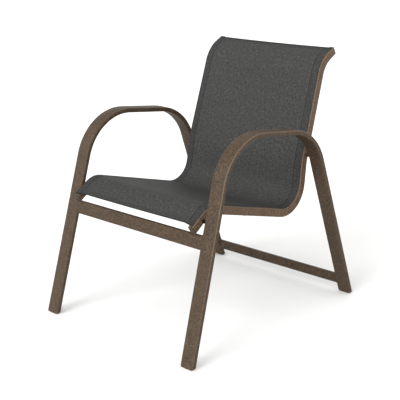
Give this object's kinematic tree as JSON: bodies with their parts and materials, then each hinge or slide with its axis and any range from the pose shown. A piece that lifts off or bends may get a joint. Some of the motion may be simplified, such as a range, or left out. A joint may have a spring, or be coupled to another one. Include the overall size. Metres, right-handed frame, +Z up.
{
  "type": "sling patio chair",
  "caption": "Outdoor armchair with looped flat-tube side frames and a mesh sling seat and back held in slotted side rails, with a rolled front edge and flared top.",
  "frame": {"origin": "on the floor, midway between the four feet, below the middle of the chair", "axes": "+Z up, -Y the way the sitter faces, +X to the sitter's left"},
  "size_m": [0.6732, 0.8436, 0.8666],
  "materials": {
    "frame_coat": "textured matt powder coat, warm brown",
    "rail_coat": "textured matt powder coat, warm brown",
    "plug": "matt moulded plastic, dark brown",
    "glide": "matt moulded plastic, dark brown",
    "hem_rod": "plain extruded plastic, dark grey",
    "steel": "plain stainless steel",
    "sling_cloth": "coated mesh weave, charcoal grey"
  },
  "bodies": {
    "root": {"left_arm_frame": "frame_coat", "left_sling_rail": "rail_coat", "left_spline": "hem_rod", "left_nose_plug": "plug", "left_tip_plug": "plug", "left_front_spacer": "frame_coat", "left_front_bolt": "steel", "left_front_insert": "steel", "left_rear_spacer": "frame_coat", "left_rear_bolt": "steel", "left_rear_insert": "steel", "left_front_glide": "glide", "left_rear_glide": "glide", "right_arm_frame": "frame_coat", "right_sling_rail": "rail_coat", "right_spline": "hem_rod", "right_nose_plug": "plug", "right_tip_plug": "plug", "right_front_spacer": "frame_coat", "right_front_bolt": "steel", "right_front_insert": "steel", "right_rear_spacer": "frame_coat", "right_rear_bolt": "steel", "right_rear_insert": "steel", "right_front_glide": "glide", "right_rear_glide": "glide", "front_cross_rail": "frame_coat", "rear_stretcher": "frame_coat", "seat_spreader": "rail_coat", "back_spreader": "rail_coat", "sling": "sling_cloth"}
  },
  "joints": []
}
